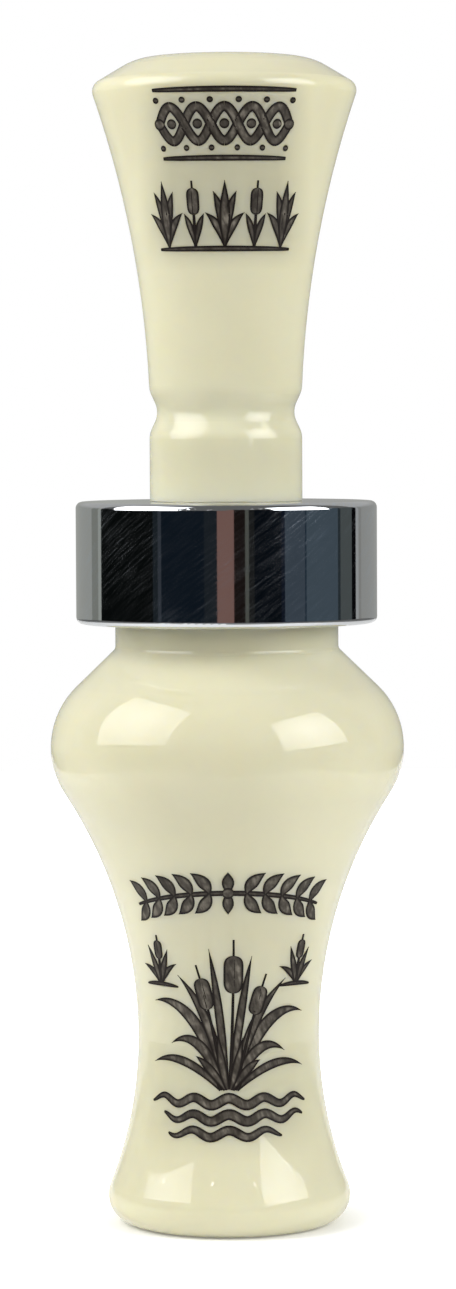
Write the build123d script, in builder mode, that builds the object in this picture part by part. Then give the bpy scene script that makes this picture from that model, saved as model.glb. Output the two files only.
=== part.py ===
"""Duck call: a turned acrylic barrel with a capped metal band, and the insert that it holds.

The call stands on its mouthpiece end, at z = 0, with its axis along +Z.
The barrel is the lower half. Its bore takes the insert, which is a bell, a tone board
glued into it, two O-rings, a reed and the wedge cork that clamps the reed.
The reed lies on the -Y side of the tone board.
"""

import os
from math import atan2, cos, degrees, hypot, radians, sin, sqrt, tan

from build123d import *

# Sizes are in millimetres. Heights with _z in their names are measured from the mouthpiece end.

# Barrel: bores
barrel_length = 76.6
socket_r = 15.875 / 2  # 5/8 in bore for the insert
mouth_bore_length = 14.7
mouth_step = 0.79  # the mouthpiece bore is this much smaller in radius
step_cone_length = 0.45  # left by the drill's point
mouth_inner_round = 1.4

# Barrel: outside
tenon_wall = 3.36  # wall of the tenon that carries the band
band_shoulder = 0.7  # step from that tenon out to the neck
neck_height = 2.75  # neck that shows below the band
crease_round = 0.6
bulge_r = 19.0
bulge_round = 9.06
bulge_drop = 10.62  # from the crease under the neck down to the widest point
waist_wall = 1.83
waist_z = 20.2
mouth_wall = 5.93
mouth_lip_round = 2.95

# Band: a cup-shaped ring with a flange over the end of the barrel
band_wall = 4.82
band_height = 13.05
band_flange = 1.2
band_edge_round = 0.7
band_mouth_chamfer = 0.25
glue_gap = 0.05

# Bell, the part of the insert that shows
shoulder_seat = 0.19  # ledge that rests on the band's flange
flange_gap = 0.06  # band's hole over the socket's radius
bell_length = 47.3
bell_mouth_r = 14.38  # at the corner, before it is rounded
bell_mouth_round = 1.2
bell_cone_height = 3.0
bell_cone_angle = 31.0
bell_crown_round = 6.5
flare_r = 111.0
bell_foot_round = 0.1
exhaust_r = 9.525 / 2  # 3/8 in bore
exhaust_round = 2.0

# Lanyard groove round the bell
groove_height = 9.55  # above the bell's foot
groove_depth = 1.07  # of the sharp V, before its floor is rounded
groove_slope = 25.0
groove_round = 2.4

# Tone board
tenon_clearance = 0.14
spigot_step = 2.3
spigot_length = 12.8
spigot_end_gap = 0.2
tip_clearance = 1.6  # between the board's tip and the bottom of the socket
board_gap = 0.34  # the board is this much thinner in radius than the socket
reed_face = -1.4  # y of the flat that the reed lies on
slot_depth = 8.0
slot_mouth = 3.8  # height of the cork slot at its front
slot_back = 2.8
lay_flat = 8.0  # straight part of the reed's bed, ahead of the cork slot
lay_drop = 1.5  # how far the bed falls away at the tip
tip_corner_round = 5.0
belly_length = 14.0  # ramp under the tip
belly_rise = 3.4
tone_bore_r = 4.7625 / 2  # 3/16 in drill
tone_bore_y = 1.6
channel_land = 2.2  # flat left between the cork slot and the open channel
channel_end = 6.5  # the channel runs out this far from the tip
tenon_chamfer = 0.4

# O-rings
o_ring_cord = 1.78
o_ring_groove_depth = 1.4
o_ring_fit = 0.02
o_ring_side_room = 0.29  # the groove is this much wider than the seated ring
end_land = 2.6
middle_land = 3.6

# Reed and wedge cork
reed_thickness = 0.254
reed_width = 12.7
reed_tip_gap = 0.8  # the reed stops this short of the board's tip
reed_corner = 2.6
reed_back_gap = 0.15
cork_proud = 1.2  # the cork stands this far out of its slot
cork_trim = 0.3  # the cork is this much smaller in radius than the board
cork_back_gap = 0.4

# Heights and radii that follow from the sizes above
shoulder_z = barrel_length + band_flange
band_foot_z = shoulder_z - band_height
crease_z = band_foot_z - neck_height
bulge_z = crease_z - bulge_drop
band_tenon_r = socket_r + tenon_wall
neck_r = band_tenon_r + band_shoulder
waist_r = socket_r + waist_wall
mouth_bore_r = socket_r - mouth_step
mouth_lip_r = mouth_bore_r + mouth_wall

flange_hole_r = socket_r + flange_gap
bell_neck_r = flange_hole_r + shoulder_seat
top_z = shoulder_z + bell_length
groove_z = shoulder_z + groove_height

tenon_r = socket_r - tenon_clearance
spigot_r = tenon_r - spigot_step
board_r = socket_r - board_gap
groove_floor_r = tenon_r - o_ring_groove_depth

# A seated ring is squeezed between bore and groove, and spreads so that its section keeps its area.
ring_r = (socket_r + groove_floor_r) / 2
ring_half_thickness = (socket_r - groove_floor_r) / 2 - o_ring_fit
ring_half_width = (o_ring_cord / 2) ** 2 / ring_half_thickness
o_ring_groove_width = 2 * ring_half_width + o_ring_side_room

tenon_length = 2 * end_land + 2 * o_ring_groove_width + middle_land + slot_depth
slot_front_z = shoulder_z - tenon_length
slot_end_z = slot_front_z + slot_depth
tip_z = mouth_bore_length + tip_clearance
board_length = slot_front_z - tip_z
through_all = 4 * bulge_r


def along(start, direction, distance):
    """The point at a distance from start, in the direction of another point."""
    dx, dz = direction[0] - start[0], direction[1] - start[1]
    size = hypot(dx, dz)
    return (start[0] + dx * distance / size, start[1] + dz * distance / size)


def on_circle(centre, radius, angle):
    """The point of a circle at an angle in degrees."""
    return (
        centre[0] + radius * cos(radians(angle)),
        centre[1] + radius * sin(radians(angle)),
    )


def arc_between(centre, radius, start, end):
    """The short arc of a circle from one of its points to another."""
    angles = [degrees(atan2(p[1] - centre[1], p[0] - centre[0])) for p in (start, end)]
    turn = (angles[1] - angles[0] + 180) % 360 - 180
    middle = on_circle(centre, radius, angles[0] + turn / 2)
    return ThreePointArc(start, middle, end)


def save(part, name):
    """Label a finished piece and write it to its own file."""
    part.label = name
    export_step(part, f"parts/{name}.step")


os.makedirs("parts", exist_ok=True)

# ---- Barrel ----
# Bulge, waist and lip are circles that touch one another, so each waist radius follows.
bulge_centre = (bulge_r - bulge_round, bulge_z)
rise = bulge_z - waist_z
offset_in = waist_r - bulge_centre[0]
upper_waist_round = (offset_in**2 + rise**2 - bulge_round**2) / (2 * (bulge_round - offset_in))
upper_waist_centre = (waist_r + upper_waist_round, waist_z)

lip_centre = (mouth_lip_r - mouth_lip_round, mouth_lip_round)
fall = waist_z - mouth_lip_round
offset_out = waist_r - lip_centre[0]
lower_waist_round = (offset_out**2 + fall**2 - mouth_lip_round**2) / (
    2 * (mouth_lip_r - waist_r)
)
lower_waist_centre = (waist_r + lower_waist_round, waist_z)

crease = (neck_r, crease_z)
to_centre = hypot(crease[0] - bulge_centre[0], crease[1] - bulge_centre[1])
back_to_crease = degrees(atan2(crease[1] - bulge_centre[1], crease[0] - bulge_centre[0]))
tangent_angle = back_to_crease - degrees(atan2(sqrt(to_centre**2 - bulge_round**2), bulge_round))
shoulder_end = on_circle(bulge_centre, bulge_round, tangent_angle)
bulge_end = along(bulge_centre, upper_waist_centre, bulge_round)
lip_start = along(lip_centre, lower_waist_centre, mouth_lip_round)
waist = (waist_r, waist_z)

with BuildPart() as barrel:
    with BuildSketch(Plane.XZ) as barrel_section:
        with BuildLine():
            Polyline(
                (0, barrel_length),
                (band_tenon_r, barrel_length),
                (band_tenon_r, band_foot_z),
                (neck_r, band_foot_z),
                crease,
                shoulder_end,
            )
            arc_between(bulge_centre, bulge_round, shoulder_end, bulge_end)
            arc_between(upper_waist_centre, upper_waist_round, bulge_end, waist)
            arc_between(lower_waist_centre, lower_waist_round, waist, lip_start)
            arc_between(lip_centre, mouth_lip_round, lip_start, (lip_centre[0], 0))
            Polyline((lip_centre[0], 0), (0, 0), (0, barrel_length))
        make_face()
        crease_corner = barrel_section.vertices().sort_by_distance((neck_r, crease_z, 0))[0]
        fillet(crease_corner, crease_round)
    revolve(axis=Axis.Z)
    with BuildSketch(Plane.XZ) as bore_section:
        with BuildLine():
            Polyline(
                (0, 0),
                (mouth_bore_r, 0),
                (mouth_bore_r, mouth_bore_length - step_cone_length),
                (socket_r, mouth_bore_length),
                (socket_r, barrel_length),
                (0, barrel_length),
                close=True,
            )
        make_face()
    revolve(axis=Axis.Z, mode=Mode.SUBTRACT)
    mouth_edge = (
        barrel.edges().filter_by(GeomType.CIRCLE).group_by(Axis.Z)[0].sort_by(SortBy.RADIUS)[0]
    )
    fillet(mouth_edge, mouth_inner_round)
save(barrel.part, "barrel")

# ---- Band ----
band_r = band_tenon_r + glue_gap + band_wall
with BuildPart() as band:
    with BuildSketch(Plane.XZ):
        with BuildLine():
            Polyline(
                (flange_hole_r, barrel_length),
                (flange_hole_r, shoulder_z),
                (band_r, shoulder_z),
                (band_r, band_foot_z),
                (band_tenon_r + glue_gap, band_foot_z),
                (band_tenon_r + glue_gap, barrel_length),
                close=True,
            )
        make_face()
    revolve(axis=Axis.Z)
    rims = band.edges().filter_by(GeomType.CIRCLE).group_by(SortBy.RADIUS)[-1]
    fillet(rims, band_edge_round)
    inner_rim = (
        band.edges().filter_by(GeomType.CIRCLE).group_by(Axis.Z)[0].sort_by(SortBy.RADIUS)[0]
    )
    chamfer(inner_rim, band_mouth_chamfer)
save(band.part, "band")

# ---- Bell ----
half_groove = groove_depth / tan(radians(groove_slope))
corner_z = top_z - bell_cone_height
crown_r = bell_mouth_r - bell_cone_height / tan(radians(bell_cone_angle))
with BuildPart() as bell:
    with BuildSketch(Plane.XZ) as bell_section:
        with BuildLine():
            Polyline(
                (0, shoulder_z),
                (bell_neck_r, shoulder_z),
                (bell_neck_r, groove_z - half_groove),
                (bell_neck_r - groove_depth, groove_z),
                (bell_neck_r, groove_z + half_groove),
            )
            RadiusArc((bell_neck_r, groove_z + half_groove), (bell_mouth_r, corner_z), flare_r)
            Polyline((bell_mouth_r, corner_z), (crown_r, top_z), (0, top_z), (0, shoulder_z))
        make_face()
        for height in (groove_z - half_groove, groove_z, groove_z + half_groove):
            x = bell_neck_r - groove_depth if height == groove_z else bell_neck_r
            fillet(bell_section.vertices().sort_by_distance((x, height, 0))[0], groove_round)
        for x, z, size in (
            (bell_mouth_r, corner_z, bell_mouth_round),
            (crown_r, top_z, bell_crown_round),
            (bell_neck_r, shoulder_z, bell_foot_round),
        ):
            fillet(bell_section.vertices().sort_by_distance((x, z, 0))[0], size)
    revolve(axis=Axis.Z)
    with Locations((0, 0, shoulder_z)):
        Cylinder(
            spigot_r + glue_gap,
            spigot_length + spigot_end_gap,
            align=(Align.CENTER, Align.CENTER, Align.MIN),
            mode=Mode.SUBTRACT,
        )
    with Locations((0, 0, shoulder_z)):
        Cylinder(
            exhaust_r,
            bell_length,
            align=(Align.CENTER, Align.CENTER, Align.MIN),
            mode=Mode.SUBTRACT,
        )
    exhaust_edge = (
        bell.edges().filter_by(GeomType.CIRCLE).group_by(Axis.Z)[-1].sort_by(SortBy.RADIUS)[0]
    )
    fillet(exhaust_edge, exhaust_round)
save(bell.part, "bell")

# ---- Tone board ----
lower_groove_z = slot_end_z + end_land
upper_groove_z = lower_groove_z + o_ring_groove_width + middle_land
lay_start_z = slot_front_z - lay_flat
lay_r = ((lay_start_z - tip_z) ** 2 + lay_drop**2) / (2 * lay_drop)
channel_top_z = slot_front_z - channel_land
channel_foot_z = tip_z + channel_end + tone_bore_r
with BuildPart() as tone_board:
    with BuildSketch(Plane.XZ):
        with BuildLine():
            Polyline(
                (0, tip_z),
                (board_r, tip_z),
                (board_r, slot_front_z),
                (tenon_r, slot_front_z + tenon_r - board_r),
                (tenon_r, lower_groove_z),
                (groove_floor_r, lower_groove_z),
                (groove_floor_r, lower_groove_z + o_ring_groove_width),
                (tenon_r, lower_groove_z + o_ring_groove_width),
                (tenon_r, upper_groove_z),
                (groove_floor_r, upper_groove_z),
                (groove_floor_r, upper_groove_z + o_ring_groove_width),
                (tenon_r, upper_groove_z + o_ring_groove_width),
                (tenon_r, shoulder_z - tenon_chamfer),
                (tenon_r - tenon_chamfer, shoulder_z),
                (spigot_r, shoulder_z),
                (spigot_r, shoulder_z + spigot_length - tenon_chamfer),
                (spigot_r - tenon_chamfer, shoulder_z + spigot_length),
                (0, shoulder_z + spigot_length),
                close=True,
            )
        make_face()
    revolve(axis=Axis.Z)
    # The bed of the reed, and the wedge-shaped slot above it that takes the cork.
    with BuildSketch(Plane.YZ):
        with BuildLine():
            Line((reed_face, slot_end_z), (reed_face, lay_start_z))
            RadiusArc((reed_face, lay_start_z), (reed_face + lay_drop, tip_z), -lay_r)
            Polyline(
                (reed_face + lay_drop, tip_z),
                (-through_all, tip_z),
                (-through_all, slot_front_z),
                (reed_face - slot_mouth, slot_front_z),
                (reed_face - slot_back, slot_end_z),
                (reed_face, slot_end_z),
            )
        make_face()
    extrude(amount=through_all, both=True, mode=Mode.SUBTRACT)
    # The ramp under the tip.
    with BuildSketch(Plane.YZ):
        with BuildLine():
            Polyline(
                (board_r, tip_z + belly_length),
                (board_r - belly_rise, tip_z),
                (through_all, tip_z),
                (through_all, tip_z + belly_length),
                close=True,
            )
        make_face()
    extrude(amount=through_all, both=True, mode=Mode.SUBTRACT)
    # The rounded corners of the tip.
    with BuildSketch(Plane.XZ) as tip_outline:
        with Locations((0, tip_z)):
            Rectangle(2 * board_r, board_length, align=(Align.CENTER, Align.MIN))
        fillet(tip_outline.vertices().group_by(Axis.Y)[0], tip_corner_round)
        with Locations((0, slot_front_z)):
            Rectangle(2 * through_all, through_all, align=(Align.CENTER, Align.MIN))
    extrude(amount=through_all, both=True, mode=Mode.INTERSECT)
    # The tone bore, and the channel that opens it to the reed.
    with Locations((0, tone_bore_y, channel_foot_z)):
        Cylinder(
            tone_bore_r,
            through_all,
            align=(Align.CENTER, Align.CENTER, Align.MIN),
            mode=Mode.SUBTRACT,
        )
        Sphere(tone_bore_r, mode=Mode.SUBTRACT)
    with BuildSketch(Plane.XZ.offset(-tone_bore_y)):
        with Locations((0, channel_foot_z - tone_bore_r)):
            SlotOverall(
                channel_top_z - channel_foot_z + tone_bore_r,
                2 * tone_bore_r,
                rotation=90,
                align=(Align.MIN, Align.CENTER),
            )
    extrude(amount=through_all, mode=Mode.SUBTRACT)
save(tone_board.part, "tone_board")

# ---- O-rings ----
for name, height in (("o_ring_lower", lower_groove_z), ("o_ring_upper", upper_groove_z)):
    with BuildPart() as o_ring:
        with BuildSketch(Plane.XZ):
            with Locations((ring_r, height + o_ring_groove_width / 2)):
                Ellipse(ring_half_thickness, ring_half_width)
        revolve(axis=Axis.Z)
    save(o_ring.part, name)

# ---- Reed ----
reed_tip_z = tip_z + reed_tip_gap
with BuildPart() as reed:
    with BuildSketch(Plane.XZ.offset(-reed_face)) as reed_outline:
        with Locations((0, reed_tip_z)):
            Rectangle(
                reed_width,
                slot_end_z - reed_back_gap - reed_tip_z,
                align=(Align.CENTER, Align.MIN),
            )
        chamfer(reed_outline.vertices().group_by(Axis.Y)[0], reed_corner)
    extrude(amount=reed_thickness)
save(reed.part, "reed")

# ---- Wedge cork ----
cork_floor = reed_face - reed_thickness
slot_slope = (slot_mouth - slot_back) / slot_depth
with BuildPart() as wedge_cork:
    with BuildSketch(Plane.YZ):
        with BuildLine():
            Polyline(
                (cork_floor, slot_end_z - cork_back_gap),
                (cork_floor, slot_front_z - cork_proud),
                (reed_face - slot_mouth - slot_slope * cork_proud, slot_front_z - cork_proud),
                (reed_face - slot_back - slot_slope * cork_back_gap, slot_end_z - cork_back_gap),
                close=True,
            )
        make_face()
    extrude(amount=through_all, both=True)
    with Locations((0, 0, slot_front_z - cork_proud)):
        Cylinder(
            board_r - cork_trim,
            slot_depth + cork_proud,
            align=(Align.CENTER, Align.CENTER, Align.MIN),
            mode=Mode.INTERSECT,
        )
save(wedge_cork.part, "wedge_cork")
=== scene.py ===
"""Looks of the duck call: its materials, the engraving, the finely gridded reed, and the studio.

Lengths are in metres, in the frame of the CAD model: +Z up, and the engraved front towards -Y.
"""

from math import cos, pi, radians, sin, sqrt

import bmesh
import bpy
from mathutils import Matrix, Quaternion, Vector
from mathutils.bvhtree import BVHTree


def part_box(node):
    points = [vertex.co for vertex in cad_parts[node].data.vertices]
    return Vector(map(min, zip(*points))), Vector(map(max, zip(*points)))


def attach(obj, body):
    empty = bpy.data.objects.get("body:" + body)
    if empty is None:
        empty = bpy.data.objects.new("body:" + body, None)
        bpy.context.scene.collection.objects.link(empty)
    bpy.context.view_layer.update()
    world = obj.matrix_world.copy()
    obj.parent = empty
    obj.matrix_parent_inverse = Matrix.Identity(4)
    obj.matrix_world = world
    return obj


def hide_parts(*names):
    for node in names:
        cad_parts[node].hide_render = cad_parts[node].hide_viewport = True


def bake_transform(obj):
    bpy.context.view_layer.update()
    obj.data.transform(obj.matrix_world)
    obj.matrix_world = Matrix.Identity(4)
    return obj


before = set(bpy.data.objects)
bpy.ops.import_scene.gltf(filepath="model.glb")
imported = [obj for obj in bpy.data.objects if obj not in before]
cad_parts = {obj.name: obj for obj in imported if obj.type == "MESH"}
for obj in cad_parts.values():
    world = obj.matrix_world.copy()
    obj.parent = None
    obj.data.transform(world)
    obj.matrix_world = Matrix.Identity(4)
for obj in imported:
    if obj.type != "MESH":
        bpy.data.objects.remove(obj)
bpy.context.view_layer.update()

MM = 0.001


# ---- Node helpers ----
class Shader:
    """A new node material, with short calls to add and link its nodes."""

    def __init__(self, name):
        self.material = bpy.data.materials.new(name)
        self.material.use_nodes = True
        self.tree = self.material.node_tree
        self.tree.nodes.clear()
        self.output = self.node("ShaderNodeOutputMaterial")
        self.surface = self.node("ShaderNodeBsdfPrincipled")
        self.link(self.surface.outputs["BSDF"], self.output.inputs["Surface"])
        self.place = self.node("ShaderNodeTexCoord").outputs["Object"]

    def node(self, kind, **settings):
        made = self.tree.nodes.new(kind)
        for key, value in settings.items():
            setattr(made, key, value)
        return made

    def link(self, source, target):
        self.tree.links.new(source, target)

    def fill(self, socket, value):
        """Link a node's output to a socket, or set the socket to a plain value."""
        if isinstance(value, bpy.types.NodeSocket):
            self.link(value, socket)
        else:
            socket.default_value = value

    def set(self, **values):
        """Inputs of the Principled shader, with _ for the spaces in their names."""
        for key, value in values.items():
            self.fill(self.surface.inputs[key.replace("_", " ")], value)

    def math(self, operation, a, b=0.0):
        made = self.node("ShaderNodeMath", operation=operation)
        self.fill(made.inputs[0], a)
        self.fill(made.inputs[1], b)
        return made.outputs[0]

    def scaled(self, scale, vector=None, turn=(0, 0, 0)):
        """Texture coordinates turned and then stretched by a scale for each axis."""
        turned = self.node("ShaderNodeMapping")
        turned.inputs["Rotation"].default_value = turn
        self.link(vector or self.place, turned.inputs["Vector"])
        made = self.node("ShaderNodeMapping")
        made.inputs["Scale"].default_value = scale
        self.link(turned.outputs[0], made.inputs["Vector"])
        return made.outputs[0]

    def unrolled(self, radius):
        """Coordinates of a turned surface laid flat: arc length round the axis, height, nothing."""
        parts = self.node("ShaderNodeSeparateXYZ")
        self.link(self.place, parts.inputs[0])
        towards_front = self.math("MULTIPLY", parts.outputs[1], -1.0)
        angle = self.math("ARCTAN2", parts.outputs[0], towards_front)
        made = self.node("ShaderNodeCombineXYZ")
        self.link(self.math("MULTIPLY", angle, radius), made.inputs[0])
        self.link(parts.outputs[2], made.inputs[1])
        return made.outputs[0]

    def noise(self, scale, detail, vector=None):
        made = self.node("ShaderNodeTexNoise")
        made.inputs["Scale"].default_value = scale
        made.inputs["Detail"].default_value = detail
        self.link(vector or self.place, made.inputs["Vector"])
        return made.outputs["Fac"]

    def cells(self, scale, feature="F1"):
        made = self.node("ShaderNodeTexVoronoi", feature=feature)
        made.inputs["Scale"].default_value = scale
        self.link(self.place, made.inputs["Vector"])
        return made.outputs

    def ramp(self, value, *stops):
        made = self.node("ShaderNodeValToRGB")
        elements = made.color_ramp.elements
        while len(elements) < len(stops):
            elements.new(0.5)
        for element, (position, colour) in zip(elements, stops):
            element.position = position
            element.color = (*colour, 1.0)
        self.link(value, made.inputs["Fac"])
        return made.outputs["Color"]

    def span(self, value, low, high, start=0.0, end=1.0):
        """Low where the value is start or less, high where it is end or more, and even in between."""
        made = self.node("ShaderNodeMapRange")
        made.inputs["From Min"].default_value = start
        made.inputs["From Max"].default_value = end
        made.inputs["To Min"].default_value = low
        made.inputs["To Max"].default_value = high
        self.link(value, made.inputs["Value"])
        return made.outputs[0]

    def bump(self, height, distance, under=None):
        """Relief of a height in metres, laid over another relief if there is one."""
        made = self.node("ShaderNodeBump")
        made.inputs["Strength"].default_value = 1.0
        made.inputs["Distance"].default_value = distance
        self.link(height, made.inputs["Height"])
        if under:
            self.link(under, made.inputs["Normal"])
        self.link(made.outputs[0], self.surface.inputs["Normal"])
        return made.outputs[0]


# ---- Materials ----
# Noise scales are in cells per metre, so 1000 makes cells of about a millimetre.
IVORY_LIGHT = (0.725, 0.70, 0.508)
IVORY_DARK = (0.695, 0.667, 0.468)


# Painted shade round each engraved panel: the colour is darkened where the dark paint would shade the
# milky acrylic. For each panel, where it starts and ends along the axis, half its width, and how much
# the painted shade hides.
PANEL_PAINTED_SHADE = (
    (104.0 * MM, 121.3 * MM, 7.4 * MM, 0.27),
    (10.0 * MM, 38.2 * MM, 8.6 * MM, 0.13),
)
PAINTED_SHADE_FADE = 1.8 * MM
PAINTED_SHADE_COLOUR = (0.09, 0.078, 0.055)


def with_painted_shade(shader, clean):
    """A colour with the painted shade round the engraved panels laid over it."""
    parts = shader.node("ShaderNodeSeparateXYZ")
    shader.link(shader.place, parts.inputs[0])
    across = shader.math("ABSOLUTE", parts.outputs[0])
    front = shader.math("LESS_THAN", parts.outputs[1], 0.0)
    colour = clean
    for start, end, half, strength in PANEL_PAINTED_SHADE:
        middle = shader.span(across, strength, 0.0, half - PAINTED_SHADE_FADE, half + PAINTED_SHADE_FADE)
        mask = shader.math("MULTIPLY", front, middle)
        for edge, inside in ((start, 1.0), (end, -1.0)):
            away = inside * PAINTED_SHADE_FADE
            within = shader.span(parts.outputs[2], 0.0, 1.0, edge - away, edge + away)
            mask = shader.math("MULTIPLY", mask, within)
        mixed = shader.node("ShaderNodeMix", data_type="RGBA")
        shader.link(mask, mixed.inputs["Factor"])
        shader.link(colour, mixed.inputs["A"])
        mixed.inputs["B"].default_value = (*PAINTED_SHADE_COLOUR, 1.0)
        colour = mixed.outputs["Result"]
    return colour


def ivory_acrylic(name, roughness=0.025, engraved=False):
    """Cast ivory acrylic: milky, with faint clouding, buffing lines and uneven polish."""
    shader = Shader(name)
    cloud = shader.noise(60.0, 4.0)
    colour = shader.ramp(cloud, (0.35, IVORY_DARK), (0.65, IVORY_LIGHT))
    # With engraved set, the colour carries painted shade round the engraved panels.
    shader.set(Base_Color=with_painted_shade(shader, colour) if engraved else colour)
    shader.set(IOR=1.49, Subsurface_Weight=0.6, Subsurface_Scale=4.5 * MM)
    shader.set(Subsurface_Radius=(1.0, 0.85, 0.5))
    handled = shader.noise(170.0, 5.0)
    shader.set(Roughness=shader.span(handled, roughness * 0.5, roughness * 1.6, 0.3, 0.7))
    buffed = shader.noise(1.0, 2.0, shader.scaled((60.0, 60.0, 5200.0)))
    orange_peel = shader.noise(420.0, 1.0)
    under = shader.bump(buffed, 0.00015 * MM)
    shader.bump(orange_peel, 0.0025 * MM, under=under)
    return shader.material


METAL = (0.62, 0.63, 0.64)
SCRATCHED_METAL = (0.60, 0.66, 0.74)


def polished_metal(name):
    """Mirror-polished aluminium with fine slanting hairlines from wiping.

    A hairline is rougher than the polish round it, and scatters a little light whatever it faces.
    """
    shader = Shader(name)
    flat = shader.unrolled(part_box("band")[1].x)
    long_slant, short_slant = (0, 0, radians(-34)), (0, 0, radians(-41))
    long_hairs = shader.noise(1.0, 2.0, shader.scaled((210.0, 3900.0, 1.0), flat, long_slant))
    short_hairs = shader.noise(1.0, 3.0, shader.scaled((430.0, 5600.0, 1.0), flat, short_slant))
    long_hairs = shader.span(long_hairs, 0.0, 0.6, 0.47, 0.72)
    short_hairs = shader.span(short_hairs, 0.0, 0.5, 0.49, 0.73)
    hairs = shader.math("ADD", long_hairs, short_hairs)
    patches = shader.span(shader.noise(110.0, 2.0, flat), 0.4, 1.0, 0.36, 0.62)
    fine = shader.math("MULTIPLY", hairs, patches)
    shader.set(Metallic=shader.span(fine, 1.0, 0.965))
    shader.set(Base_Color=shader.ramp(fine, (0.0, METAL), (1.0, SCRATCHED_METAL)))
    shader.set(Roughness=shader.span(fine, 0.03, 0.16))
    turning_lines = shader.noise(1.0, 2.0, shader.scaled((1.0, 2600.0, 1.0), flat))
    shader.bump(turning_lines, 0.00006 * MM)
    return shader.material


def rubber(name):
    """Nitrile rubber: near black, dull, with fine grain and a trace of grease."""
    shader = Shader(name)
    grain = shader.noise(2600.0, 3.0)
    shader.set(Base_Color=shader.ramp(grain, (0.3, (0.012, 0.012, 0.013)), (0.8, (0.03, 0.03, 0.032))))
    shader.set(Roughness=shader.span(shader.noise(350.0, 3.0), 0.34, 0.62))
    shader.bump(grain, 0.01 * MM)
    return shader.material


def frosted_film(name):
    """Frosted polyester film: milky, with the haze and fine lines of the sheet."""
    shader = Shader(name)
    haze = shader.noise(300.0, 4.0)
    lines = shader.noise(1.0, 2.0, shader.scaled((5200.0, 1.0, 60.0)))
    shader.set(Base_Color=shader.ramp(haze, (0.3, (0.80, 0.81, 0.78)), (0.7, (0.87, 0.88, 0.85))))
    shader.set(Roughness=shader.span(lines, 0.24, 0.42), IOR=1.6, Transmission_Weight=0.35)
    shader.bump(lines, 0.002 * MM)
    return shader.material


def pressed_cork(name):
    """Agglomerated cork: tan grains with dark seams and open pores."""
    shader = Shader(name)
    grains = shader.cells(1150.0)
    seams = shader.cells(1150.0, "DISTANCE_TO_EDGE")["Distance"]
    tone = shader.ramp(
        grains["Color"],
        (0.1, (0.33, 0.185, 0.085)),
        (0.5, (0.47, 0.29, 0.15)),
        (0.9, (0.60, 0.40, 0.22)),
    )
    dark = shader.node("ShaderNodeMix", data_type="RGBA")
    shader.link(shader.span(seams, 0.85, 0.0, 0.0, 0.09), dark.inputs["Factor"])
    shader.link(tone, dark.inputs["A"])
    dark.inputs["B"].default_value = (0.13, 0.065, 0.03, 1.0)
    shader.set(Base_Color=dark.outputs["Result"], Roughness=shader.span(grains["Distance"], 0.7, 0.95))
    pores = shader.noise(3800.0, 3.0)
    under = shader.bump(shader.span(seams, 0.0, 1.0, 0.0, 0.2), 0.12 * MM)
    shader.bump(pores, 0.05 * MM, under=under)
    return shader.material


def engraving_paint(name):
    """Brown-black paint rubbed into a laser-cut surface: dark along each edge, worn grey inside."""
    shader = Shader(name)
    edge = shader.node("ShaderNodeAttribute", attribute_name="edge_distance").outputs["Fac"]
    hatch = shader.noise(1.0, 3.0, shader.scaled((1900.0, 1900.0, 420.0), turn=(0, radians(20), 0)))
    blotches = shader.noise(900.0, 3.0)
    inside = shader.span(edge, 0.0, 1.0, 0.13 * MM, 0.3 * MM)
    hatched = shader.span(hatch, 0.35, 1.0, 0.36, 0.66)
    blotched = shader.span(blotches, 0.45, 1.0, 0.35, 0.65)
    worn = shader.math("MULTIPLY", hatched, blotched)
    worn = shader.math("MULTIPLY", worn, inside)
    tone = shader.ramp(
        worn,
        (0.0, (0.006, 0.003, 0.002)),
        (0.5, (0.075, 0.065, 0.052)),
        (1.0, (0.2, 0.18, 0.145)),
    )
    shader.set(Base_Color=tone)
    shader.set(Roughness=shader.span(hatch, 0.35, 0.65), Specular_IOR_Level=0.2)
    shader.bump(hatch, 0.012 * MM)
    return shader.material


def dress(node, material):
    """Give a CAD node its material."""
    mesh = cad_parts[node].data
    mesh.materials.clear()
    mesh.materials.append(material)


ivory = ivory_acrylic("ivory_acrylic", engraved=True)
paint = engraving_paint("engraving_paint")
film = frosted_film("reed_film")
o_ring_rubber = rubber("o_ring_rubber")
for node, material in (
    ("barrel", ivory),
    ("bell", ivory),
    ("band", polished_metal("band_metal")),
    ("tone_board", ivory_acrylic("tone_board_acrylic", 0.2)),
    ("o_ring_lower", o_ring_rubber),
    ("o_ring_upper", o_ring_rubber),
    ("wedge_cork", pressed_cork("cork")),
):
    dress(node, material)


# ---- Engraving ----
# Marks are drawn flat, in millimetres: x to the right along the surface, y up, both from the middle
# of their panel. They are then laid on the turned surface as a film of paint.
PAINT_PROUD = 0.015 * MM
PAINT_SUNK = 0.02 * MM
PAINT_COAT = 0.0012 * MM  # each stroke lies this much over the one before
STROKE_STEP = 0.2
STROKE_ROWS = (-1.0, -0.75, -0.4, 0.0, 0.4, 0.75, 1.0)  # points across a stroke, edge to edge
UNDER_ROWS = (1.0, 0.0, -1.0)


def curve(*points):
    """A Bezier curve through its first and last points, as a function of 0 to 1."""

    def at(t):
        row = [Vector(point) for point in points]
        while len(row) > 1:
            row = [a.lerp(b, t) for a, b in zip(row, row[1:])]
        return row[0]

    return at


def leaf_width(widest, where, root=0.25):
    """A leaf's width: a narrow root, its widest at where, and a point at its tip."""

    def at(t):
        if t < where:
            return widest * (root + (1 - root) * sin(t / where * pi / 2))
        return widest * max(cos((t - where) / (1 - where) * pi / 2), 0.06)

    return at


def line_width(widest, ends):
    """A line's width: widest in its middle, and ends times that at both ends."""
    return lambda t: widest * (ends + (1 - ends) * sqrt(max(sin(pi * t), 0.0)))


def pod_width(widest):
    """An even width with round ends, as on a bulrush head."""
    return lambda t: widest * sqrt(max(1 - abs(2 * t - 1) ** 5, 0.001))


def even_width(width):
    return lambda t: width


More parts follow.
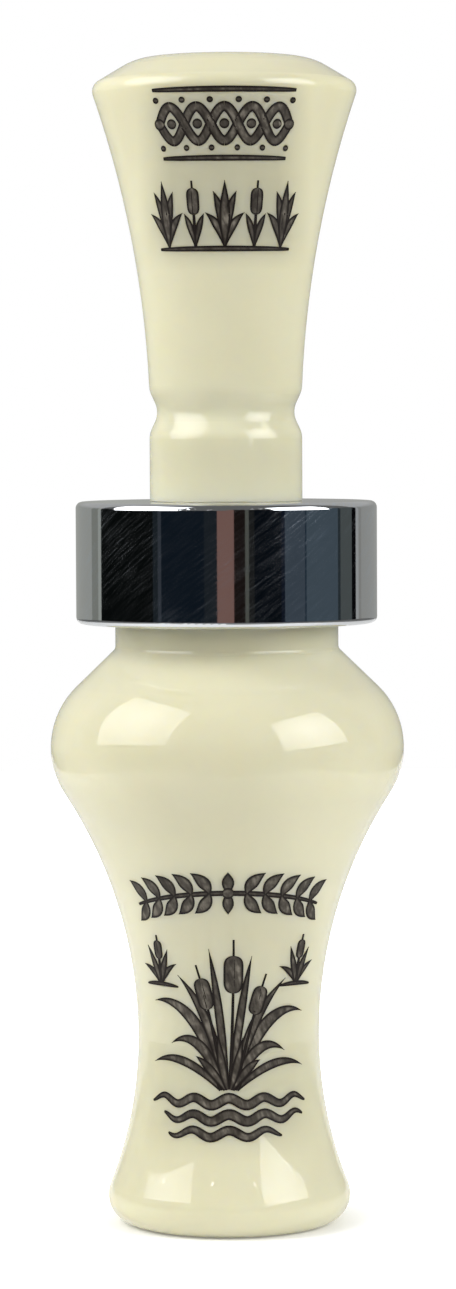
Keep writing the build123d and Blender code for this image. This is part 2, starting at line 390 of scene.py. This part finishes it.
class Engraving:
    """One panel of painted strokes on a turned node. A later stroke lies over an earlier one."""

    def __init__(self, name, node, body, middle):
        self.name, self.body, self.middle = name, body, middle
        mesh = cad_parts[node].data
        corners = [corner.co for corner in mesh.vertices]
        self.surface = BVHTree.FromPolygons(corners, [tuple(face.vertices) for face in mesh.polygons])
        self.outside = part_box(node)[1].x * 1.2
        self.radius = 1.0  # any radius does for the panel's middle, which gives the real one
        self.radius = self.on_surface(Vector((0, 0)), 0).xy.length / MM
        self.mesh = bmesh.new()
        self.edge = self.mesh.verts.layers.float.new("edge_distance")
        self.strokes = 0

    def on_surface(self, spot, lift):
        """The point of the drawing on the node, lifted off it by a small height."""
        turn = spot.x / self.radius
        outwards = Vector((sin(turn), -cos(turn), 0))
        height = Vector((0, 0, self.middle + spot.y * MM))
        hit, normal, _, _ = self.surface.ray_cast(outwards * self.outside + height, -outwards)
        return hit + normal * lift

    def stroke(self, line, width):
        """A painted stroke along a line, where both its place and its width are functions of 0 to 1."""
        length = sum((line((k + 1) / 12) - line(k / 12)).length for k in range(12))
        steps = max(int(length / STROKE_STEP), 10)
        proud = PAINT_PROUD + self.strokes * PAINT_COAT
        self.strokes += 1
        rings = []
        for k in range(steps + 1):
            t = (1 - cos(pi * k / steps)) / 2
            ahead = line(min(t + 0.01, 1.0)) - line(max(t - 0.01, 0.0))
            half = Vector((-ahead.y, ahead.x)).normalized() * width(t) / 2
            ring = []
            for row in STROKE_ROWS:
                made = self.mesh.verts.new(self.on_surface(line(t) + half * row, proud))
                made[self.edge] = half.length * (1 - abs(row)) * MM
                ring.append(made)
            for row in UNDER_ROWS:
                ring.append(self.mesh.verts.new(self.on_surface(line(t) + half * row, -PAINT_SUNK)))
            rings.append(ring)
        for ring, after in zip(rings, rings[1:]):
            for k in range(len(ring)):
                after_k = (k + 1) % len(ring)
                self.mesh.faces.new((ring[k], ring[after_k], after[after_k], after[k]))
        self.mesh.faces.new(rings[0][::-1])
        self.mesh.faces.new(rings[-1])

    def disc(self, x, y, radius):
        """A round dot, as one short stroke."""
        across = curve((x - radius, y), (x + radius, y))
        self.stroke(across, lambda t: 4 * radius * sqrt(max(t - t * t, 0.0001)))

    def finish(self):
        bmesh.ops.recalc_face_normals(self.mesh, faces=self.mesh.faces)
        data = bpy.data.meshes.new(self.name)
        self.mesh.to_mesh(data)
        self.mesh.free()
        made = bpy.data.objects.new(self.name, data)
        bpy.context.collection.objects.link(made)
        data.materials.append(paint)
        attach(made, self.body)


def braid(panel, length, eyes, swing, thick):
    """Two strands that pass over and under each other, with a bead in each eye between them."""

    def strand(side, start, end):
        def line(t):
            along = start + (end - start) * t
            return Vector((length * (along / eyes - 0.5), side * swing * sin(pi * along)))

        return line

    for k in range(eyes + 1):
        start, end = max(k - 0.5, 0), min(k + 0.5, eyes)
        over = 1 if k % 2 else -1
        panel.stroke(strand(-over, start, end), even_width(thick))
        panel.stroke(strand(over, start, end), even_width(thick))
    for k in range(eyes):
        panel.disc(length * ((k + 0.5) / eyes - 0.5), 0, swing * 0.3)


def sprig(panel, x, base, height, thick):
    """Five pointed blades that fan out from one foot."""
    for out, up in ((0.30, 0.52), (0.17, 0.84)):
        for side in (-1, 1):
            reach, rise = side * height * out, height * up
            tip = (x + reach, base + rise)
            knee = (x + reach * 0.25, base + rise * 0.7)
            panel.stroke(curve((x, base), knee, tip), leaf_width(thick * 0.8, 0.5))
    panel.stroke(curve((x, base), (x, base + height)), leaf_width(thick, 0.45))


def bulrush(panel, foot, top, bow, head, thick):
    """A bulrush: a thin bowed stalk with a spike, and near its top a head, head long and thick wide."""
    foot, top = Vector(foot), Vector(top)
    stalk = curve(foot, foot.lerp(top, 0.55) + Vector((bow, 0)), top)
    panel.stroke(stalk, lambda t: 0.40 - 0.2 * t)
    length = (top - foot).length
    spike = 0.12 * length
    start = 1 - (head + spike) / length
    end = 1 - spike / length
    panel.stroke(lambda t: stalk(start + (end - start) * t), pod_width(thick))


def ripple(panel, x, y, length, thick):
    """A water line that swells up and down, in step with the others above and below it."""

    def line(t):
        along = x + length * (t - 0.5)
        return Vector((along, y + 0.38 * cos(along / 0.62)))

    panel.stroke(line, line_width(thick, 0.12))


# The bell: a braid between two rules, over a row of plants.
rope = Engraving("engraving_bell_braid", "bell", "insert", 117.3 * MM)
braid(rope, 14.2, 5, 1.75, 1.05)
for y in (-3.5, 3.5):
    rope.stroke(curve((-7.3, y), (7.3, y)), line_width(0.62, 0.5))
for k in range(6):
    for y in (-2.45, 2.45):
        rope.disc(2.84 * (k - 2.5), y, 0.32)
for side in (-1, 1):
    rope.disc(side * 7.1, 0, 0.6)
rope.finish()
plants = Engraving("engraving_bell_plants", "bell", "insert", 107.9 * MM)
for k in (-1, 1):
    bulrush(plants, (3.3 * k, -3.3), (3.3 * k, 3.6), 0, 2.9, 1.35)
    for side in (-1, 1):
        blade = curve((3.3 * k, -3.3), (3.3 * k + side * 0.4, -1.0), (3.3 * k + side * 1.1, 0.2))
        plants.stroke(blade, leaf_width(0.75, 0.5))
for k in (-2, 0, 2):
    sprig(plants, 3.3 * k, -3.3, 6.9, 1.15)
plants.stroke(curve((-7.9, -3.45), (7.9, -3.45)), line_width(0.6, 0.4))
plants.finish()

# The barrel: an arched garland, a clump of bulrushes between two small tufts, and rippled water.
garland = Engraving("engraving_barrel_garland", "barrel", "barrel", 36.0 * MM)


def garland_stem(t):
    return Vector((22.0 * (t - 0.5), 0.9 - 6.6 * (t - 0.5) ** 2))


garland.stroke(garland_stem, line_width(0.6, 0.4))
for k in (-5, -4, -3, -2, -1, 1, 2, 3, 4, 5):
    root = garland_stem(0.5 + 0.088 * k)
    lean = 1.75 if k > 0 else -1.75
    for side in (-1, 1):
        leaf = curve(root, root + Vector((lean * 0.1, side * 1.3)), root + Vector((lean, side * 2.2)))
        garland.stroke(leaf, leaf_width(1.35, 0.5))
for y in (-2.3, 2.3):
    garland.stroke(curve(garland_stem(0.5), garland_stem(0.5) + Vector((0, y))), leaf_width(1.25, 0.5))
garland.disc(0, garland_stem(0.5).y, 0.62)
garland.finish()

clump = Engraving("engraving_barrel_bulrushes", "barrel", "barrel", 23.4 * MM)
for tip_x, tip_y, knee_x, knee_y, width in (
    (-9.2, -5.2, -5.0, -3.2, 1.0),
    (9.0, -5.6, 5.0, -3.6, 1.0),
    (-8.8, 1.4, -3.4, 2.8, 1.35),
    (8.9, 0.2, 3.6, 2.4, 1.4),
    (-5.4, 4.4, -1.8, 0.6, 1.1),
    (6.2, 4.0, 2.2, 0.4, 1.1),
    (-6.6, -3.0, -3.0, -0.6, 1.2),
    (6.4, -3.8, 3.0, -1.2, 1.2),
    (-1.9, 7.4, -1.0, 1.0, 0.95),
    (2.3, 6.6, 1.3, 1.0, 0.95),
):
    blade = curve((0.09 * tip_x, -7.7), (knee_x, knee_y), (tip_x, tip_y))
    clump.stroke(blade, leaf_width(width, 0.45, 0.45))
bulrush(clump, (0.1, -7.6), (0.5, 8.4), 0.25, 4.3, 2.0)
bulrush(clump, (-0.5, -7.6), (-3.3, 5.6), 0.2, 3.6, 1.75)
bulrush(clump, (0.7, -7.6), (3.9, 4.6), -0.1, 3.3, 1.65)
for tip_x, tip_y, knee_x in ((-3.6, -4.2, -2.2), (3.4, -4.6, 2.2), (-1.2, -1.6, -0.9), (1.5, -2.2, 1.0)):
    blade = curve((0.1 * tip_x, -7.7), (knee_x, -5.0), (tip_x, tip_y))
    clump.stroke(blade, leaf_width(0.95, 0.45, 0.5))
for side in (-1, 1):
    foot = side * 7.6
    for lean, top, width in ((-2.3, 5.3, 0.7), (2.2, 5.6, 0.7), (-1.2, 7.4, 0.8), (1.3, 7.1, 0.8)):
        tuft = curve((foot, 3.3), (foot + lean * 0.3, 4.9), (foot + lean, top))
        clump.stroke(tuft, leaf_width(width, 0.45, 0.5))
    bulrush(clump, (foot, 3.3), (foot + 0.2, 8.6), 0, 2.1, 1.05)
    clump.stroke(curve((foot - 2.2, 3.2), (foot, 3.5), (foot + 2.2, 3.1)), line_width(0.5, 0.2))
clump.finish()

water = Engraving("engraving_barrel_ripples", "barrel", "barrel", 12.6 * MM)
for x, y, length, thick in ((0.0, 1.85, 19.0, 1.15), (0.6, 0.15, 16.4, 1.15), (-0.5, -1.5, 12.4, 1.05)):
    ripple(water, x, y, length, thick)
water.finish()


# ---- Reed ----
# The CAD reed is one stiff plate. This one is a fine grid of the same size.
REED_COLUMNS = 24
REED_ROWS = 90
REED_CORNER = 2.6 * MM


def bending_reed():
    """The reed's outline, with its rounded tip corners, on a grid fine enough to bend smoothly."""
    low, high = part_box("reed")
    half = (high.x - low.x) / 2
    made = bmesh.new()
    sheets = []
    for y in (low.y, high.y):
        rows = []
        for k in range(REED_ROWS + 1):
            z = low.z + (high.z - low.z) * k / REED_ROWS
            into = max(REED_CORNER - (z - low.z), 0.0)
            reach = half - REED_CORNER + sqrt(max(REED_CORNER * REED_CORNER - into * into, 0.0))
            row = []
            for c in range(REED_COLUMNS + 1):
                row.append(made.verts.new((reach * (2 * c / REED_COLUMNS - 1), y, z)))
            rows.append(row)
        sheets.append(rows)
    for rows in sheets:
        for under, over in zip(rows, rows[1:]):
            for c in range(REED_COLUMNS):
                made.faces.new((under[c], under[c + 1], over[c + 1], over[c]))
    front, back = sheets
    for k in range(REED_ROWS):
        for c in (0, REED_COLUMNS):
            made.faces.new((front[k][c], front[k + 1][c], back[k + 1][c], back[k][c]))
    for k in (0, REED_ROWS):
        for c in range(REED_COLUMNS):
            made.faces.new((front[k][c], front[k][c + 1], back[k][c + 1], back[k][c]))
    bmesh.ops.recalc_face_normals(made, faces=made.faces)
    data = bpy.data.meshes.new("bending_reed")
    made.to_mesh(data)
    made.free()
    piece = bpy.data.objects.new("bending_reed", data)
    bpy.context.collection.objects.link(piece)
    data.materials.append(film)
    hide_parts("reed")
    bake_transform(piece)


bending_reed()


# ---- Studio ----
# What the mirror finish of the band sees at its own height: the azimuth where each stretch of the
# room starts, from -180 behind the call, past 0 at the camera, to 180, and how bright it is.
ROOM = (
    (-180, (0.38, 0.39, 0.365)),
    (-126, (0.25, 0.26, 0.235)),
    (-116, (0.39, 0.41, 0.38)),
    (-112, (0.003, 0.004, 0.004)),
    (-58, (0.014, 0.02, 0.025)),
    (-54, (0.04, 0.048, 0.06)),
    (-51, (0.006, 0.011, 0.018)),
    (-18, (0.014, 0.019, 0.024)),
    (-8, (0.23, 0.13, 0.11)),
    (5, (0.012, 0.008, 0.007)),
    (13, (0.10, 0.105, 0.09)),
    (16, (0.015, 0.016, 0.016)),
    (20, (0.003, 0.005, 0.008)),
    (41, (0.006, 0.01, 0.02)),
    (45, (0.056, 0.075, 0.097)),
    (61, (0.02, 0.035, 0.053)),
    (63, (0.068, 0.094, 0.118)),
    (93, (0.026, 0.036, 0.042)),
    (96, (0.085, 0.098, 0.098)),
    (111, (0.002, 0.002, 0.003)),
    (116, (0.41, 0.42, 0.42)),
    (120, (0.30, 0.30, 0.285)),
    (125, (0.355, 0.36, 0.345)),
)
# Higher up and lower down, the room is one even tone ahead of the call and another behind it. The
# stripes give way to them between these elevations, and behind starts at this azimuth.
FRONT = (0.165, 0.165, 0.16)
BACK = (0.52, 0.52, 0.51)
BACK_FROM = 112
STRIPES_END = (8, 20)


def area_light(name, centre, facing, width, height, radiance, lean=0.0, mirrored=True):
    """A rectangular light that the camera doesn't see.

    It is turned by lean, in degrees, about the way it faces. One that isn't mirrored only lights the
    call, and makes no reflection in it.
    """
    light = bpy.data.lights.new(name, "AREA")
    light.shape = "RECTANGLE"
    light.size = width
    light.size_y = height
    light.energy = radiance * pi * width * height
    made = bpy.data.objects.new(name, light)
    bpy.context.collection.objects.link(made)
    made.location = centre
    made.rotation_mode = "QUATERNION"
    leaning = Quaternion((0, 0, 1), radians(lean))
    made.rotation_quaternion = Vector(facing).to_track_quat("-Z", "Y") @ leaning
    made.visible_camera = False
    made.visible_glossy = mirrored
    return light


SOFT_EDGE = 0.68  # brightness at a soft box's edges, with its middle as 1


def soften(light):
    """Make a soft box brightest in its middle, as a lamp behind a diffuser is."""
    light.use_nodes = True
    nodes, links = light.node_tree.nodes, light.node_tree.links
    parts = nodes.new("ShaderNodeSeparateXYZ")
    links.new(nodes.new("ShaderNodeNewGeometry").outputs["Parametric"], parts.inputs[0])
    both = nodes.new("ShaderNodeMath")
    both.operation = "MULTIPLY"
    for k in (0, 1):
        ramp = nodes.new("ShaderNodeValToRGB")
        ramp.color_ramp.interpolation = "EASE"
        ramp.color_ramp.elements.new(0.5)
        for element, level in zip(ramp.color_ramp.elements, (SOFT_EDGE, 1.0, SOFT_EDGE)):
            element.color = (level, level, level, 1.0)
        links.new(parts.outputs[k], ramp.inputs["Fac"])
        links.new(ramp.outputs["Color"], both.inputs[k])
    links.new(both.outputs[0], nodes["Emission"].inputs["Strength"])


LAMP_DISTANCE = 1.5
LAMP_SIZE = (0.055, 0.03)
LAMP_AIM = (0, 0, 0.05)


def lamp(name, azimuth, elevation, radiance):
    """A small lamp across the room, seen only as a glint in polished surfaces."""
    across, up = radians(azimuth), radians(elevation)
    inwards = Vector((-sin(across) * cos(up), cos(across) * cos(up), -sin(up)))
    area_light(name, Vector(LAMP_AIM) - inwards * LAMP_DISTANCE, inwards, *LAMP_SIZE, radiance)


def studio_world():
    """White to the camera. To everything else, a dim room with a pale wall behind the call."""
    world = bpy.data.worlds.new("studio")
    bpy.context.scene.world = world
    world.use_nodes = True
    nodes, links = world.node_tree.nodes, world.node_tree.links
    nodes.clear()
    parts = nodes.new("ShaderNodeSeparateXYZ")
    links.new(nodes.new("ShaderNodeTexCoord").outputs["Generated"], parts.inputs[0])
    back = nodes.new("ShaderNodeMath")
    back.operation = "MULTIPLY"
    back.inputs[1].default_value = -1.0
    links.new(parts.outputs[1], back.inputs[0])
    azimuth = nodes.new("ShaderNodeMath")
    azimuth.operation = "ARCTAN2"
    links.new(parts.outputs[0], azimuth.inputs[0])
    links.new(back.outputs[0], azimuth.inputs[1])
    turn = nodes.new("ShaderNodeMapRange")
    turn.inputs["From Min"].default_value = -pi
    turn.inputs["From Max"].default_value = pi
    links.new(azimuth.outputs[0], turn.inputs["Value"])
    walls = nodes.new("ShaderNodeValToRGB")
    walls.color_ramp.interpolation = "CONSTANT"
    elements = walls.color_ramp.elements
    while len(elements) < len(ROOM):
        elements.new(0.5)
    for element, (start, colour) in zip(elements, ROOM):
        element.position = (start + 180) / 360
        element.color = (*colour, 1.0)
    links.new(turn.outputs[0], walls.inputs["Fac"])
    height = nodes.new("ShaderNodeMath")
    height.operation = "ABSOLUTE"
    links.new(parts.outputs[2], height.inputs[0])
    above = nodes.new("ShaderNodeMapRange")
    above.inputs["From Min"].default_value = sin(radians(STRIPES_END[0]))
    above.inputs["From Max"].default_value = sin(radians(STRIPES_END[1]))
    links.new(height.outputs[0], above.inputs["Value"])
    behind = nodes.new("ShaderNodeMath")
    behind.operation = "COMPARE"
    behind.inputs[1].default_value = 0.5
    behind.inputs[2].default_value = BACK_FROM / 360
    links.new(turn.outputs[0], behind.inputs[0])
    around = nodes.new("ShaderNodeMix")
    around.data_type = "RGBA"
    links.new(behind.outputs[0], around.inputs["Factor"])
    around.inputs["A"].default_value = (*BACK, 1.0)
    around.inputs["B"].default_value = (*FRONT, 1.0)
    room = nodes.new("ShaderNodeMix")
    room.data_type = "RGBA"
    links.new(above.outputs[0], room.inputs["Factor"])
    links.new(walls.outputs["Color"], room.inputs["A"])
    links.new(around.outputs["Result"], room.inputs["B"])
    lit = nodes.new("ShaderNodeBackground")
    links.new(room.outputs["Result"], lit.inputs["Color"])
    white = nodes.new("ShaderNodeBackground")
    white.inputs["Color"].default_value = (1.0, 1.0, 1.0, 1.0)
    mix = nodes.new("ShaderNodeMixShader")
    links.new(nodes.new("ShaderNodeLightPath").outputs["Is Camera Ray"], mix.inputs["Fac"])
    links.new(lit.outputs[0], mix.inputs[1])
    links.new(white.outputs[0], mix.inputs[2])
    links.new(mix.outputs[0], nodes.new("ShaderNodeOutputWorld").inputs["Surface"])


SHEET_HALF_WIDTH = 0.150
SHEET_FRONT = -0.116
SHEET_GLOW = 0.12
TABLE = (0.3, 0.3, 0.3)
WHITE_FROM = 0.012  # from this distance to the next, the floor turns plain white to the camera
WHITE_AT = 0.028


def pale_floor():
    """A white sheet on a darker table. Away from the call the camera sees both as plain white."""
    bpy.ops.mesh.primitive_circle_add(vertices=96, radius=0.6, fill_type="NGON")
    made = bpy.context.object
    made.name = "floor"
    shader = Shader("floor_white")
    parts = shader.node("ShaderNodeSeparateXYZ")
    shader.link(shader.place, parts.inputs[0])
    across = shader.math("ABSOLUTE", parts.outputs[0])
    wide = shader.math("LESS_THAN", across, SHEET_HALF_WIDTH)
    deep = shader.math("GREATER_THAN", parts.outputs[1], SHEET_FRONT)
    sheet = shader.math("MULTIPLY", wide, deep)
    grain = shader.noise(900.0, 3.0)
    paper = shader.ramp(grain, (0.3, (0.88, 0.88, 0.88)), (0.7, (0.92, 0.92, 0.92)))
    colour = shader.node("ShaderNodeMix", data_type="RGBA")
    shader.link(sheet, colour.inputs["Factor"])
    colour.inputs["A"].default_value = (*TABLE, 1.0)
    shader.link(paper, colour.inputs["B"])
    shader.set(Base_Color=colour.outputs["Result"], Roughness=0.9, Specular_IOR_Level=0.1)
    reach = shader.node("ShaderNodeVectorMath", operation="LENGTH")
    shader.link(shader.place, reach.inputs[0])
    far = shader.span(reach.outputs["Value"], 0.0, 1.0, WHITE_FROM, WHITE_AT)
    seen = shader.node("ShaderNodeLightPath").outputs["Is Camera Ray"]
    whitened = shader.math("MULTIPLY", far, seen)
    glow = shader.math("ADD", whitened, shader.math("MULTIPLY", sheet, SHEET_GLOW))
    shader.set(Emission_Color=(1.0, 1.0, 1.0, 1.0), Emission_Strength=glow)
    made.data.materials.append(shader.material)


def camera():
    """The camera, level with the lanyard groove and tilted slightly down."""
    distance, aside, height = 0.4661, 0.00012, 0.0868
    down, lean = radians(3.0), radians(0.275)
    data = bpy.data.cameras.new("camera")
    data.sensor_width = 36.0
    data.lens = 121.2
    made = bpy.data.objects.new("camera", data)
    bpy.context.collection.objects.link(made)
    made.location = (aside, -distance, height)
    made.rotation_mode = "QUATERNION"
    made.rotation_quaternion = Quaternion((1, 0, 0), pi / 2 - down) @ Quaternion((0, 0, 1), -lean)
    bpy.context.scene.camera = made


# Each light: its centre, the way it faces, its width, height and radiance, and how it is turned.
for box in (
    ("soft_box_left", (-0.204, -0.089, 0.226), (0.897, 0.249, -0.366), 0.269, 0.269, 5.5, 8.8),
    ("soft_box_right", (0.226, -0.148, 0.2025), (-0.892, 0.451, -0.034), 0.243, 0.226, 6.7, 4.4),
):
    soften(area_light(*box))
area_light("soft_box_back", (0.05, 0.5, 0.2), (-0.1, -1, -0.26), 0.5, 0.4, 1.2, mirrored=False)
lamp("lamp_left", -18.4, 25.7, 11.0)
lamp("lamp_middle", 20.1, 23.5, 5.0)
lamp("lamp_right", 27.3, 25.3, 6.0)
lamp("lamp_side", -73.0, 19.0, 5.0)
studio_world()
pale_floor()
camera()
bpy.context.scene.view_settings.view_transform = "Standard"
